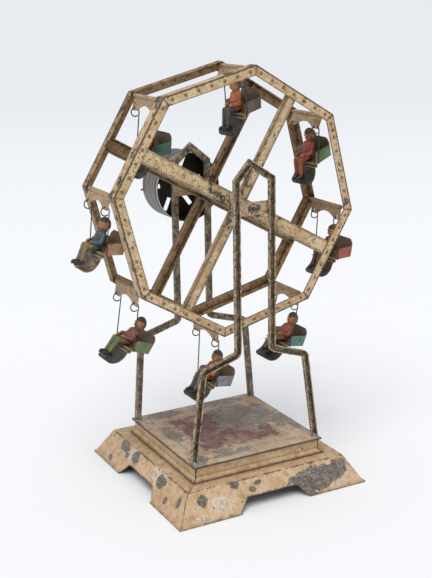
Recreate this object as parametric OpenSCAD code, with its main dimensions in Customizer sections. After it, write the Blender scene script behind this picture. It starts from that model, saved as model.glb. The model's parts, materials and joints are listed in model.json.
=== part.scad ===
// Toy Ferris wheel of painted tinplate: a stepped base, two bent trestles, an octagonal wheel with eight
// swinging gondolas, and a drive drum behind the rear trestle.
// Millimetres, +Z up, origin under the middle of the whole toy, axle along Y, figures facing -X.

/* [Place] */
// Shift of the base along X that brings the middle of the whole toy over the origin
centre_x = 4; // [-8:0.1:8]
// Shift of the base along Y that brings the middle of the whole toy over the origin
centre_y = -1.2; // [-4:0.1:4]

/* [Base] */
// How far the top plate reaches past the outer faces of the trestles
foot_margin = 4.8; // [2:0.1:8]
// Distance from the plate's edge to a trestle's foot
foot_inset = 0.1; // [0.1:0.1:4]
// Overhang of the top plate past the upper box
plate_lip = 2; // [0.5:0.1:4]
// Thickness of the top plate
plate_t = 1.2; // [0.8:0.1:2.5]
// Height of the upper box
step_h = 11; // [8:0.5:20]
// Size of the hollow moulding at the foot of the upper box
cove = 3; // [1.5:0.1:6]
// Height of the upright edge under the moulding
cove_foot = 1; // [0.5:0.1:2]
// Width of the ledge round the upper box
ledge = 10.5; // [4:0.5:18]
// How far the skirt slopes outwards below the ledge
skirt_out = 12.5; // [5:0.5:20]
// Height of the sloping skirt
plinth_h = 21; // [14:0.5:32]
// Width of each arch at the floor
arch_w = 60; // [40:1:80]
// Width of each arch at its top
arch_top_w = 42; // [24:1:60]
// Height of each arch
arch_h = 9.5; // [5:0.5:12]
// Height of the folded hem along the feet
hem_h = 1.2; // [0.6:0.1:2]
// How far the hem stands out from the skirt
hem_out = 0.6; // [0.2:0.1:1.5]
// Width of the hem's resting face
hem_w = 2.4; // [1.6:0.1:5]
// Thickness of the base's sheet
base_t = 0.8; // [0.4:0.1:1.4]

/* [Trestles] */
// Distance between the tops of the front trestle's legs
front_leg_span = 87; // [60:1:100]
// Distance between the tops of the rear trestle's legs
rear_leg_span = 95; // [60:1:100]
// Distance between the two uprights
upright_span = 28.8; // [22:0.2:44]
// Drop from the wheel's lowest reach to the bend under the uprights
bend_drop = 6.5; // [0:0.5:12]
// Fall of the crank between an upright and its leg
crank_fall = 9.5; // [4:0.5:24]
// Height of the gable's shoulders over the axle
gable_h = 21; // [16:0.5:40]
// Rise of the gable above its shoulders
gable_rise = 12; // [5:0.5:20]
// Sideways bend of the front gable's peak, towards +X
gable_shift = -3.5; // [-6:0.5:6]
// Width of the folded channel
channel_w = 5; // [3.5:0.1:8]
// Depth of the folded channel
channel_d = 3.4; // [2:0.1:6]
// Thickness of the channel's sheet
channel_t = 0.7; // [0.4:0.1:1.2]
// Height of the bearing straps
strap_h = 9.5; // [8:0.5:16]
// Thickness of the bearing straps
strap_t = 1; // [0.6:0.1:2]
// Outer radius of the eyelet round the axle
eyelet_r = 2.7; // [2.2:0.1:4]
// Length of the eyelet
eyelet_l = 1.4; // [0.6:0.1:3]
// Radius of the solder round each foot
solder_r = 3.3; // [2.6:0.1:4]
// Height of the solder round each foot
solder_h = 2; // [1:0.1:4]

/* [Wheel] */
// Radius from the axle to the rims' corners
wheel_r = 100; // [90:1:120]
// Turn of the wheel at rest
wheel_turn = -8.4; // [-22:0.1:22]
// Width of a rim's flat face
rim_face = 7; // [5:0.5:12]
// Depth of the front rim's outer flange
front_flange = 9.5; // [5:0.5:14]
// Depth of the rear rim's outer flange
rear_flange = 7; // [5:0.5:14]
// Thickness of the rims and spokes
rim_t = 0.6; // [0.4:0.1:1.2]
// Number of pips along one side of a rim
pip_count = 7; // [3:1:9]
// Distance between pips
pip_pitch = 10.6; // [6:0.1:11]
// Radius of a pip
pip_r = 0.9; // [0.5:0.1:1.4]
// Height of a pip
pip_h = 0.35; // [0.2:0.05:0.8]
// Width of the long spokes
spoke_w = 11; // [9.5:0.5:16]
// Width of the cross spokes
cross_w = 7.6; // [6:0.1:11]
// Depth of the spokes' channel
spoke_d = 4.5; // [2:0.5:7]
// Skew of the long spokes against the rims' sides
spoke_skew = 1.8; // [0:0.1:3]
// Distance from a rim's corner in to its pivot rod
rod_inset = 3; // [2.5:0.1:6]
// Radius of the pivot rods
rod_r = 0.8; // [0.5:0.05:1.2]
// How far the pivot rods stand out of the rims
rod_end = 0.8; // [0.2:0.1:2]
// Radius of the axle
axle_r = 1.5; // [1:0.1:1.8]
// How far the axle stands out of its eyelet and drum
axle_end = 1.5; // [0.5:0.1:5]
// Radius of the hub sleeve
hub_r = 4; // [2.6:0.1:4.1]
// Radius of the collars
collar_r = 3.2; // [2.4:0.1:5]
// Length of the collars
collar_l = 4; // [2:0.5:8]
// Free space between the wheel and a bearing strap
side_gap = 17.1; // [10:0.1:24]

/* [Drum] */
// Outer radius of the drum
drum_r = 27.5; // [20:0.5:40]
// Length of the drum
drum_l = 27; // [16:0.5:40]
// Thickness of the drum's sheet
drum_t = 0.7; // [0.4:0.1:1.2]
// Free space between the rear trestle and the drum
drum_gap = 3.3; // [2:0.1:8]
// Distance from the drum's rear edge in to its disc
disc_inset = 1.5; // [0.5:0.1:5]
// Number of slots in the disc
slot_count = 6; // [3:1:10]
// Width of the slots
slot_w = 3.6; // [1:0.1:6]
// Radius where the slots begin
slot_in = 13; // [8:0.5:15]
// Distance from the slots' ends to the drum's wall
slot_edge = 3; // [1.5:0.1:6]
// Direction of the first slot at rest
slot_turn = 7; // [0:1:60]
// Radius of the drum's hub
drum_hub_r = 5; // [3:0.1:6]
// Length of the drum's hub
drum_hub_l = 8; // [4:0.5:14]
// Radius of the peg on the drum
peg_r = 0.8; // [0.4:0.1:1.5]
// How far the peg stands out of the drum
peg_h = 2.4; // [1:0.1:5]
// Direction of the peg at rest
peg_turn = 186; // [0:1:360]

/* [Gondolas] */
// Width of the seat
seat_w = 30.4; // [24:0.2:38]
// Length of the seat's side panels
seat_l = 15; // [13:0.5:20]
// Distance from the wires forward to the front of the side panels
panel_front = 1.5; // [1:0.1:3]
// Height of the side panels
panel_h = 7.6; // [4:0.1:10]
// Thickness of the seat's sheet
seat_t = 0.7; // [0.4:0.1:1]
// Distance from the wires forward to the middle of the bench's rolled edge
nose_x = 3; // [2.5:0.1:5]
// Radius of the bench's rolled edge
nose_r = 1.2; // [0.8:0.1:1.6]
// How far the rolled edge stands above the bench
nose_rise = 0.2; // [0.1:0.05:0.4]
// Height of the seat's back
back_h = 12.4; // [9:0.1:18]
// Size of the cut corners of the back
back_cut = 3.8; // [1:0.1:6]
// Lean of the back and of the side panels
back_lean = 16; // [0:1:30]
// Direction in which the footrest leaves the bench, from straight down
riser_lean = 20; // [5:1:35]
// Straight length of the footrest below the bench
riser_l = 3; // [1:0.1:5]
// Radius of the footrest's bend
scoop_r = 12; // [8:0.1:14]
// Angle through which the footrest bends
scoop_turn = 45; // [30:1:65]
// Length of the footrest's toe board
toe_l = 4; // [2:0.1:7]
// Radius of the toe board's corners
toe_round = 5; // [2:0.1:8]
// Distance from the side of the footrest to the side of the seat
foot_gap = 1; // [0.2:0.1:3]
// Radius of the suspension wires
wire_r = 0.55; // [0.3:0.05:0.7]
// Radius of the eye at the top of a wire, to the wire's middle
eye_r = 3.1; // [2.9:0.1:4]
// Angle through which the eye is bent
eye_turn = 300; // [240:1:305]
// Drop from the pierced ears to the bench, before each wire's own difference
wire_drop = 34; // [32:0.5:40]
// Thickness of the hangers
hanger_t = 0.7; // [0.4:0.1:0.9]
// Drop from a pivot rod to the holes in the ears
ear_drop = 8.6; // [7:0.1:12]
// Metal below the holes in the ears
ear_margin = 2; // [1.6:0.1:2.2]
// Metal beyond the holes towards the ends of the hanger
ear_edge = 4.4; // [2:0.1:6]
// Width of an ear at its foot
ear_w = 8; // [7:0.5:9]
// Radius of the holes in the ears
ear_hole_r = 1.3; // [1.2:0.05:1.4]
// Rise of the arch between the ears
hanger_rise = 4.4; // [2:0.1:5]
// End play of a hanger between the rims
hanger_play = 1.5; // [1:0.1:6]
// Clearance over the top plate of a gondola hanging at full length
ground_gap = 21.8; // [10:0.1:40]

/* [Fits] */
// Radial clearance of the axle and the pivot rods
run_fit = 0.06; // [0.02:0.01:0.1]
// Radial clearance of soldered joints
joint_fit = 0.05; // [0.02:0.01:0.1]
// End play of the axle between its straps
end_play = 0.3; // [0.1:0.1:0.6]

/* [Hidden] */

$fn = 48;
// Room that a cutting shape needs beyond the faces that it cuts
past = 1;
corners = 8;
corner_step = 360 / corners;
side_half = corner_step / 2;
gondolas = [1:corners];

// How each gondola hangs at rest: turn of its hanger, swing of its wires, tilt of its seat, and the length
// that its hand-bent wires have over the others
hang = [12, 28, 22, 4, 4, 0, 10, 22];
swing = [6, -4, 0, 3, 13, 4, 9, 6];
tilt = [-10, -18, -25, -4, 8, 8.5, 19.5, 5];
droop = [-2.4, -8.4, -5.6, 0, 1.5, 4.2, 2, 0];
// How each figure sits: its shift along the bench, and the lean of its body
scoot = [0, 0, 0, 0, 1.5, 0, -1, -2.5];
slouch = [0, -8, 12, 0, 5, -3, 5, -2];

cream = "#d2b27e";
bare_tin = "#8b8680";
dark_wire = "#4a4642";
seat_paint = ["#2f7f78", "#55524c", "#3f7a45", "#a8362b", "#2f7a6c", "#6d7884", "#4f7d3d", "#c25a58"];
coat_paint = ["#b5502c", "#c8642a", "#c0473f", "#5a3a2c", "#bf4a42", "#c06a30", "#8c4030", "#2f6e78"];

// Gondola, from its wires outwards
wire_y = seat_w / 2 + joint_fit + wire_r;
hanger_l = 2 * (wire_y + ear_edge);
hanger_h = ear_drop + ear_margin;
hanger_y = (front_flange - rear_flange + hanger_play) / 2 - end_play;
hanger_arch = hanger_l / 2 - ear_w;
hanger_arch_r = (hanger_arch * hanger_arch + hanger_rise * hanger_rise) / (2 * hanger_rise);
roll_r = rod_r + run_fit + hanger_t;
nose = [-nose_x, nose_rise - nose_r];
foot_w = seat_w - 2 * foot_gap;

// Middle line of the footrest's sheet, from the bench's rolled edge down and forwards to its toe
arc_steps = 8;
riser_turn = -90 - riser_lean;
toe_turn = riser_turn - scoop_turn;
foot_top = nose + (nose_r + joint_fit) * heading(riser_turn);
scoop_top = foot_top + riser_l * heading(riser_turn);
scoop_mid = scoop_top - scoop_r * heading(riser_turn + 90);
scoop_arc = arc_points(scoop_mid, scoop_r, riser_turn + 90, toe_turn + 90, arc_steps);
toe_tip = scoop_arc[arc_steps] + toe_l * heading(toe_turn);
foot_path = concat([foot_top], scoop_arc, [toe_tip]);

// Wheel and axle
wheel_w = hanger_l + hanger_play + front_flange + rear_flange;
apothem = wheel_r * cos(side_half);
pivot_r = wheel_r - rod_inset;
rim_y = wheel_w / 2;
web_y = rim_y - rim_t;
strap_y = rim_y + side_gap;
trestle_y = strap_y + strap_t + channel_d / 2;
long_spoke_turn = wheel_turn - side_half + spoke_skew;
cross_spoke_turn = wheel_turn - side_half + 90;
cross_reach = apothem - rim_t - joint_fit;
long_reach = (cross_reach - spoke_w / 2 * sin(spoke_skew)) / cos(spoke_skew);
cross_start = (spoke_w + cross_w * sin(spoke_skew)) / 2 / cos(spoke_skew) + joint_fit;
drum_y = trestle_y + channel_d / 2 + drum_gap;
drum_end_y = drum_y + drum_l;
disc_y = drum_end_y - disc_inset;
disc_r = drum_r - drum_t - joint_fit;
slot_out = drum_r - drum_t - slot_edge;

// Base, from the trestles outwards
plate_half = trestle_y + channel_d / 2 + foot_margin;
step_half = plate_half - plate_lip;
step_foot = step_half + cove;
ledge_half = step_foot + ledge;
base_half = ledge_half + skirt_out;
foot_x = plate_half - foot_inset - channel_w / 2;
plate_z = plinth_h + step_h;
plate_top = plate_z + plate_t;

// Heights above the plate
gondola_reach = ear_drop + wire_drop + max(droop) + norm(toe_tip);
axle_z = plate_top + ground_gap + gondola_reach + pivot_r;
bend_z = axle_z - wheel_r - bend_drop;
leg_top_z = bend_z - crank_fall;
gable_z = axle_z + gable_h;
apex_z = gable_z + gable_rise;

// Places on the seated figure, measured from the wires' ends on the bench, and the girth there
hip = [1, 3.4];
chest = [4.4, 11];
neck = [6.2, 14.2];
head = [7.4, 18.6];
elbow = [1.6, 6.6];
hand = [-4.2, 7];
knee = [-7.2, 4];
ankle = [-11, -5.2];
heel = [-10.6, -7.3];
toe = [-15.8, -7.3];
leg_y = 2.7;
hip_r = 3.8;
chest_r = 4;
head_r = 4.4;
head_tall = 1.2;
shoulder_y = 4.6;
elbow_y = 6.6;
hand_y = 3.6;
arm_r = 1.7;
hand_r = 1.5;
neck_r = 2;
thigh_r = 2.7;
knee_r = 2.4;
ankle_r = 1.7;
shoe_r = 1.9;
figure_sides = 10;
head_sides = 12;
// Room that a seated figure needs each way
figure_room = 40;

// Unit vectors, mitred offsets of a path, and the strip that they bound
function unit(v) = v / norm(v);
function heading(a) = [cos(a), sin(a)];
function left_of(v) = [-v[1], v[0]];
function side_of(path, i) = left_of(unit(path[i + 1] - path[i]));
function mitre(path, i, d) =
    let (before = side_of(path, max(i - 1, 0)), after = side_of(path, min(i, len(path) - 2)))
    path[i] + d * (before + after) / (1 + before * after);
function strip(path, w) = concat(
    [for (i = [0 : len(path) - 1]) mitre(path, i, w / 2)],
    [for (i = [len(path) - 1 : -1 : 0]) mitre(path, i, -w / 2)]
);
function beyond(p, q, d) = p + d * unit(p - q);
function flip(p) = [-p[0], p[1]];
function flipped(path) = [for (i = [len(path) - 1 : -1 : 0]) flip(path[i])];
function arc_points(middle, r, from, to, steps) =
    [for (i = [0 : steps]) let (a = from + (to - from) * i / steps) middle + r * heading(a)];
function leaned(p, a) = [p[0] * cos(a) + p[1] * sin(a), p[1] * cos(a) - p[0] * sin(a)];
function upper(p, k) = hip + leaned(p - hip, slouch[k - 1]);
function corner_turn(k) = 180 - corner_step * k + wheel_turn;

// One trestle's path in X and Z, from foot to foot over the gable
function left_half(span) = [
    beyond([-foot_x, plate_top], [-span / 2, leg_top_z], channel_w),
    [-span / 2, leg_top_z],
    [-upright_span / 2, bend_z],
    [-upright_span / 2, gable_z]
];
function trestle_path(span, shift) = concat(left_half(span), [[shift, apex_z]], flipped(left_half(span)));
front_path = trestle_path(front_leg_span, gable_shift);
rear_path = trestle_path(rear_leg_span, 0);

// A drawing in X and Z, given depth from y0 to y1
module in_depth(y0, y1) {
    translate([0, y1, 0]) rotate([90, 0, 0]) linear_extrude(y1 - y0) children();
}

// A round bar along Y
module bar_y(r, y0, y1) {
    translate([0, y1, 0]) rotate([90, 0, 0]) cylinder(r = r, h = y1 - y0);
}

// A square body whose side outline is drawn in X and Z
module square_body(half) {
    intersection() {
        in_depth(-half, half) children();
        rotate([0, 0, 90]) in_depth(-half, half) children();
    }
}

// Half widths at the bottom and the top of a sloping outline
module slope(low, high, z0, z1) {
    polygon([[-low, z0], [low, z0], [high, z1], [-high, z1]]);
}

module arch_outline() {
    widen = (arch_w - arch_top_w) / 2 * past / arch_h;
    slope(arch_w / 2 + widen, arch_top_w / 2, -past, arch_h);
}

module base_plinth() {
    reach = base_half + hem_out;
    slant = skirt_out / plinth_h;
    color(cream) difference() {
        union() {
            difference() {
                square_body(base_half) slope(base_half, ledge_half, 0, plinth_h);
                square_body(base_half + past)
                    slope(base_half - base_t + slant * past, ledge_half - base_t + slant * base_t,
                          -past, plinth_h - base_t);
            }
            difference() {
                translate([-reach, -reach, 0]) cube([2 * reach, 2 * reach, hem_h]);
                translate([hem_w - reach, hem_w - reach, -past])
                    cube([2 * (reach - hem_w), 2 * (reach - hem_w), hem_h + 2 * past]);
            }
        }
        in_depth(-reach - past, reach + past) arch_outline();
        rotate([0, 0, 90]) in_depth(-reach - past, reach + past) arch_outline();
        opening = step_half - 2 * base_t;
        translate([-opening, -opening, plinth_h / 2]) cube([2 * opening, 2 * opening, plinth_h]);
    }
}

// Right-hand outline of the upper box: a small foot, a hollow quarter round and a straight wall
module step_outline() {
    hollow = arc_points([step_foot, plinth_h + cove_foot + cove], cove, 270, 180, arc_steps);
    right = concat([[step_foot, plinth_h]], hollow, [[step_half, plate_z]]);
    polygon(concat(right, flipped(right)));
}

module base_step() {
    inside = step_half - base_t;
    color(cream) difference() {
        square_body(step_foot + past) step_outline();
        translate([-inside, -inside, plinth_h - past]) cube([2 * inside, 2 * inside, step_h + 2 * past]);
    }
}

module base_top_plate() {
    color("#8a6258") translate([-plate_half, -plate_half, plate_z])
        cube([2 * plate_half, 2 * plate_half, plate_t]);
}

// Solder round one trestle's two feet, at the front
module solder(path) {
    difference() {
        intersection() {
            for (side = [-1, 1])
                translate([side * foot_x, -trestle_y, plate_top])
                    cylinder(r1 = solder_r, r2 = channel_w / 2, h = solder_h);
            translate([-plate_half, -plate_half, plate_top]) cube([2 * plate_half, 2 * plate_half, solder_h]);
        }
        in_depth(-trestle_y - channel_d / 2, -trestle_y + channel_d / 2) polygon(strip(path, channel_w));
    }
}
module foot_solder() {
    color(bare_tin) {
        solder(front_path);
        mirror([0, 1, 0]) solder(rear_path);
    }
}

// A trestle at the front: the channel's closed side faces the wheel
module trestle(path) {
    outer_y = -trestle_y - channel_d / 2;
    inner_y = -trestle_y + channel_d / 2;
    color(cream) intersection() {
        difference() {
            in_depth(outer_y, inner_y) polygon(strip(path, channel_w));
            in_depth(outer_y - past, inner_y - channel_t) polygon(strip(path, channel_w - 2 * channel_t));
        }
        translate([-base_half, -base_half, plate_top]) cube([2 * base_half, 2 * base_half, apex_z]);
    }
}
module front_trestle() { trestle(front_path); }
module rear_trestle() { mirror([0, 1, 0]) trestle(rear_path); }

module bearing_strap() {
    strap_w = upright_span + channel_w;
    color(cream) translate([0, 0, axle_z]) difference() {
        union() {
            translate([-strap_w / 2, -strap_y - strap_t, -strap_h / 2]) cube([strap_w, strap_t, strap_h]);
            bar_y(eyelet_r, -strap_y - strap_t - eyelet_l, -strap_y);
        }
        bar_y(axle_r + run_fit, -strap_y - strap_t - eyelet_l - past, -strap_y + past);
    }
}
module front_bearing_strap() { bearing_strap(); }
module rear_bearing_strap() { mirror([0, 1, 0]) bearing_strap(); }

// An octagon drawn at the wheel's resting turn
module octagon(r) {
    rotate(wheel_turn) circle(r = r, $fn = corners);
}

module rim(flange) {
    face_r = wheel_r - rim_face / cos(side_half);
    flange_r = wheel_r - rim_t / cos(side_half);
    color(cream) translate([0, 0, axle_z]) difference() {
        union() {
            in_depth(-rim_y, -rim_y + rim_t) difference() {
                octagon(wheel_r);
                octagon(face_r);
            }
            in_depth(-rim_y, -rim_y + flange) difference() {
                octagon(wheel_r);
                octagon(flange_r);
            }
            for (side = [0 : corners - 1]) rotate([0, -wheel_turn - side_half - side * corner_step, 0])
                for (i = [0 : pip_count - 1])
                    translate([apothem - rim_face / 2, 0, (i - (pip_count - 1) / 2) * pip_pitch])
                        bar_y(pip_r, -rim_y - pip_h, -rim_y + rim_t / 2);
        }
        for (k = gondolas) at_corner(k) bar_y(rod_r + joint_fit, -rim_y - past, -rim_y + rim_t + past);
    }
}
module front_rim() { rim(front_flange); }
module rear_rim() { mirror([0, 1, 0]) rim(rear_flange); }

// Children placed at corner k's pivot, measured from the axle
module at_corner(k) {
    translate([pivot_r * cos(corner_turn(k)), 0, pivot_r * sin(corner_turn(k))]) children();
}

// One straight stretch of spoke channel, open towards the middle of the wheel
module spoke_channel(turn, from, to, w) {
    rotate([0, -turn, 0]) difference() {
        translate([from, -web_y, -w / 2]) cube([to - from, spoke_d, w]);
        translate([from - past, -web_y + rim_t, -w / 2 + rim_t])
            cube([to - from + 2 * past, spoke_d, w - 2 * rim_t]);
    }
}

module long_spoke() {
    color(cream) translate([0, 0, axle_z]) difference() {
        spoke_channel(long_spoke_turn, -long_reach, long_reach, spoke_w);
        bar_y(axle_r + joint_fit, -web_y - past, -web_y + rim_t + past);
    }
}
module front_long_spoke() { long_spoke(); }
module rear_long_spoke() { mirror([0, 1, 0]) long_spoke(); }

module cross_spoke() {
    color(cream) translate([0, 0, axle_z]) for (end = [0, 180])
        spoke_channel(cross_spoke_turn + end, cross_start, cross_reach, cross_w);
}
module front_cross_spoke() { cross_spoke(); }
module rear_cross_spoke() { mirror([0, 1, 0]) cross_spoke(); }

module axle() {
    front = -strap_y - strap_t - eyelet_l - axle_end;
    color(dark_wire) translate([0, 0, axle_z]) bar_y(axle_r, front, drum_end_y + axle_end);
}

// A tube on the axle
module axle_tube(r, y0, y1) {
    translate([0, 0, axle_z]) difference() {
        bar_y(r, y0, y1);
        bar_y(axle_r + joint_fit, y0 - past, y1 + past);
    }
}

module hub_sleeve() {
    sleeve_y = web_y - rim_t;
    color(bare_tin) axle_tube(hub_r, -sleeve_y, sleeve_y);
}

module axle_collars() {
    outer = strap_y - end_play;
    color(bare_tin) for (rear = [0, 1]) mirror([0, rear, 0]) axle_tube(collar_r, -outer, collar_l - outer);
}

module pivot_rods() {
    color(dark_wire) translate([0, 0, axle_z]) for (k = gondolas)
        at_corner(k) bar_y(rod_r, -rim_y - rod_end, rim_y + rod_end);
}

module drum_band() {
    color(bare_tin) translate([0, 0, axle_z]) {
        difference() {
            union() {
                bar_y(drum_r, drum_y, drum_end_y);
                rotate([0, -peg_turn, 0]) translate([drum_r - drum_t / 2, disc_y, 0])
                    rotate([0, 90, 0]) cylinder(r = peg_r, h = drum_t / 2 + peg_h);
            }
            bar_y(drum_r - drum_t, drum_y - past, drum_end_y + past);
        }
    }
}

module drum_disc() {
    color(bare_tin) translate([0, 0, axle_z]) difference() {
        union() {
            bar_y(disc_r, disc_y - drum_t, disc_y);
            bar_y(drum_hub_r, disc_y - drum_hub_l, disc_y);
        }
        bar_y(axle_r + joint_fit, disc_y - drum_hub_l - past, disc_y + past);
        for (i = [0 : slot_count - 1]) rotate([0, -slot_turn - i * 360 / slot_count, 0])
            translate([slot_in, disc_y - drum_t - past, -slot_w / 2])
                cube([slot_out - slot_in, drum_t + 2 * past, slot_w]);
    }
}

// Children placed at gondola k's pivot rod, at its ears and on its bench
module on_rod(k) {
    translate([0, hanger_y, axle_z]) at_corner(k) rotate([0, hang[k - 1], 0]) children();
}
module on_ears(k) {
    on_rod(k) translate([0, 0, -ear_drop]) rotate([0, swing[k - 1] - hang[k - 1], 0]) children();
}
module on_bench(k) {
    on_ears(k) translate([eye_r, 0, -wire_drop - droop[k - 1]]) rotate([0, tilt[k - 1] - swing[k - 1], 0]) children();
}

module hanger(k) {
    color(cream) on_rod(k) difference() {
        union() {
            bar_y(roll_r, -hanger_l / 2, hanger_l / 2);
            translate([-hanger_t / 2, -hanger_l / 2, -hanger_h]) cube([hanger_t, hanger_l, hanger_h]);
        }
        bar_y(rod_r + run_fit, -hanger_l / 2 - past, hanger_l / 2 + past);
        for (side = [-1, 1]) translate([-past, side * wire_y, -ear_drop])
            rotate([0, 90, 0]) cylinder(r = ear_hole_r, h = 2 * past);
        translate([-past, 0, hanger_rise - hanger_h - hanger_arch_r])
            rotate([0, 90, 0]) cylinder(r = hanger_arch_r, h = 2 * past);
    }
}

// A bent eye through each ear, and the straight wire down to the foot of the seat's panel
module wires(k) {
    foot_z = -wire_drop - droop[k - 1] - seat_t;
    color(dark_wire) on_ears(k) for (side = [-1, 1]) translate([0, side * wire_y, 0]) {
        translate([0, 0, -eye_r]) rotate([90, 0, 0])
            rotate_extrude(angle = eye_turn) translate([eye_r, 0]) circle(r = wire_r);
        translate([eye_r, 0, foot_z]) cylinder(r = wire_r, h = -eye_r - foot_z);
    }
}

// The bench with its rolled edge, the back with its cut corners, folded up at the rear, and two side panels
module seat(k) {
    fold_x = seat_l - panel_front - seat_t;
    fold_z = -seat_t / 2;
    lean = tan(back_lean);
    panel_rise = panel_h - fold_z;
    back_half = (seat_w - seat_t) / 2;
    color(seat_paint[k - 1]) on_bench(k) {
        translate([-nose_x, -seat_w / 2, -seat_t]) cube([nose_x + fold_x + seat_t, seat_w, seat_t]);
        translate([nose[0], 0, nose[1]]) bar_y(nose_r, -seat_w / 2, seat_w / 2);
        for (rear = [0, 1]) mirror([0, rear, 0]) in_depth(-seat_w / 2, seat_t - seat_w / 2) polygon([
            [-panel_front, -seat_t], [fold_x + lean * fold_z, -seat_t],
            [fold_x + lean * panel_rise, panel_h], [lean * panel_rise - panel_front, panel_h]
        ]);
        translate([fold_x, 0, fold_z]) rotate([0, back_lean, 0]) translate([-seat_t / 2, 0, 0])
            rotate([90, 0, 90]) linear_extrude(seat_t) polygon([
                [-back_half, 0], [back_half, 0],
                [back_half, back_h - back_cut], [back_half - back_cut, back_h],
                [back_cut - back_half, back_h], [-back_half, back_h - back_cut]
            ]);
    }
}

module footrest(k) {
    deep = -2 * toe_tip[1];
    color(bare_tin) on_bench(k) intersection() {
        in_depth(-foot_w / 2, foot_w / 2) polygon(strip(foot_path, seat_t));
        translate([toe_tip[0], -foot_w / 2, -deep]) linear_extrude(deep) {
            translate([toe_round, 0]) square(foot_w);
            translate([0, toe_round]) square([toe_round, foot_w - 2 * toe_round]);
            for (y = [toe_round, foot_w - toe_round]) translate([toe_round, y]) circle(r = toe_round);
        }
    }
}

// A limb between two places on the figure, given with their distance from its middle
module limb(p, p_y, p_r, q, q_y, q_r) {
    hull() {
        translate([p[0], p_y, p[1]]) sphere(r = p_r, $fn = figure_sides);
        translate([q[0], q_y, q[1]]) sphere(r = q_r, $fn = figure_sides);
    }
}

module figure(k) {
    body = upper(chest, k);
    throat = upper(neck, k);
    face = upper(head, k);
    bent = upper(elbow, k);
    calf_x = nose_x + nose_r;
    color(coat_paint[k - 1]) on_bench(k) intersection() {
        translate([scoot[k - 1], 0, 0]) {
            hull() for (side = [-1, 1]) {
                translate([hip[0], side * leg_y / 2, hip[1]]) sphere(r = hip_r, $fn = figure_sides);
                translate([body[0], side * leg_y / 2, body[1]]) sphere(r = chest_r, $fn = figure_sides);
            }
            limb(body, 0, chest_r, throat, 0, neck_r);
            limb(throat, 0, neck_r, face, 0, neck_r);
            hull() for (end = [-1, 1])
                translate([face[0], 0, face[1] + end * head_r * (head_tall - 1)])
                    sphere(r = head_r, $fn = head_sides);
            for (side = [-1, 1]) {
                limb(hip, side * leg_y, thigh_r, knee, side * leg_y, knee_r);
                limb(knee, side * leg_y, knee_r, ankle, side * leg_y, ankle_r);
                limb(heel, side * leg_y, shoe_r, toe, side * leg_y, shoe_r);
                limb(ankle, side * leg_y, ankle_r, heel, side * leg_y, ankle_r);
                limb(body, side * shoulder_y, arm_r, bent, side * elbow_y, arm_r);
                limb(bent, side * elbow_y, arm_r, hand, side * hand_y, hand_r);
            }
        }
        // The bench and its rolled edge leave the figure flat there
        in_depth(-seat_w / 2, seat_w / 2) polygon([
            [figure_room, 0], [nose_r - nose_x, 0], [nose_r - nose_x, nose_rise], [-calf_x, nose_rise],
            [-calf_x, -figure_room], [-figure_room, -figure_room], [-figure_room, figure_room],
            [figure_room, figure_room]
        ]);
    }
}

translate([centre_x, centre_y, 0]) {
    base_plinth();
    base_step();
    base_top_plate();
    foot_solder();
    front_trestle();
    rear_trestle();
    front_bearing_strap();
    rear_bearing_strap();
    front_rim();
    rear_rim();
    front_long_spoke();
    front_cross_spoke();
    rear_long_spoke();
    rear_cross_spoke();
    axle();
    hub_sleeve();
    axle_collars();
    pivot_rods();
    drum_band();
    drum_disc();
    for (k = gondolas) {
        hanger(k);
        wires(k);
        seat(k);
        footrest(k);
        figure(k);
    }
}
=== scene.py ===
"""Looks of a toy Ferris wheel of old painted tinplate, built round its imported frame. Metres, +Z up."""

import json
import math
from functools import partial

import bmesh
import bpy
from mathutils import Matrix, Vector, noise


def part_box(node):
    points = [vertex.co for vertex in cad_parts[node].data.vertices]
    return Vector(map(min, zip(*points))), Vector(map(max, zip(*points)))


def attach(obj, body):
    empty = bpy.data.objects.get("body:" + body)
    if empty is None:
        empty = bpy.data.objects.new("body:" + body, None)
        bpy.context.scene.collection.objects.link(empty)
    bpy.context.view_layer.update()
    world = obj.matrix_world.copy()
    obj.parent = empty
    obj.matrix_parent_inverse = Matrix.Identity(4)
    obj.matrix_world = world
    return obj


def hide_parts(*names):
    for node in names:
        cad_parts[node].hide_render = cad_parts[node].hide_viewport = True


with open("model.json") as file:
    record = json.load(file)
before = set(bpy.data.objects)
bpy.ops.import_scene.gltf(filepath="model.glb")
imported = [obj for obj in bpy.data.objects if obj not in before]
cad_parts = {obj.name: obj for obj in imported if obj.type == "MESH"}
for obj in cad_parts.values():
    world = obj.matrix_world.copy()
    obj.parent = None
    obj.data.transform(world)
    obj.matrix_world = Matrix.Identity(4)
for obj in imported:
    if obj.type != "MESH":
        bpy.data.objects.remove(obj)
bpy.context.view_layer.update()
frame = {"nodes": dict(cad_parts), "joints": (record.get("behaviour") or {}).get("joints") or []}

MM = 0.001
GONDOLAS = range(1, 9)
joints = {joint["name"]: joint for joint in frame["joints"]}
axle = Vector(joints["wheel_spin"]["pos_m"])

# Camera: where the photograph was taken from, and the size of its picture
PHOTO_HEIGHT_PX = 578
FOCAL_PX = 1079
SENSOR = 36
CAMERA_AZIMUTH = math.radians(-28.104)
CAMERA_ELEVATION = math.radians(15.669)
CAMERA_ROLL = math.radians(-0.905)
CAMERA_DISTANCE = 827.4 * MM
TARGET_RIGHT = -4.845 * MM
TARGET_HEIGHT = 147.73 * MM
CLIP_END = 200

# Gondolas 1 to 8 at rest, in degrees and millimetres: swing of the wires, tilt of the seat, extra wire
SWING = [6, -4, 0, 3, 13, 4, 9, 6]
TILT = [-10, -18, -25, -4, 8, 8.5, 19.5, 5]
DROOP = [-2.4, -8.4, -5.6, 0, 1.5, 4.2, 2, 0]
# Figures 1 to 8 at rest: shift towards the seat's back and lean of the body
SCOOT = [0, 0, 0, 0, 1.5, 0, -1, -2.5]
SLOUCH = [0, -8, 12, 0, 5, -3, 5, -2]
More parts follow.
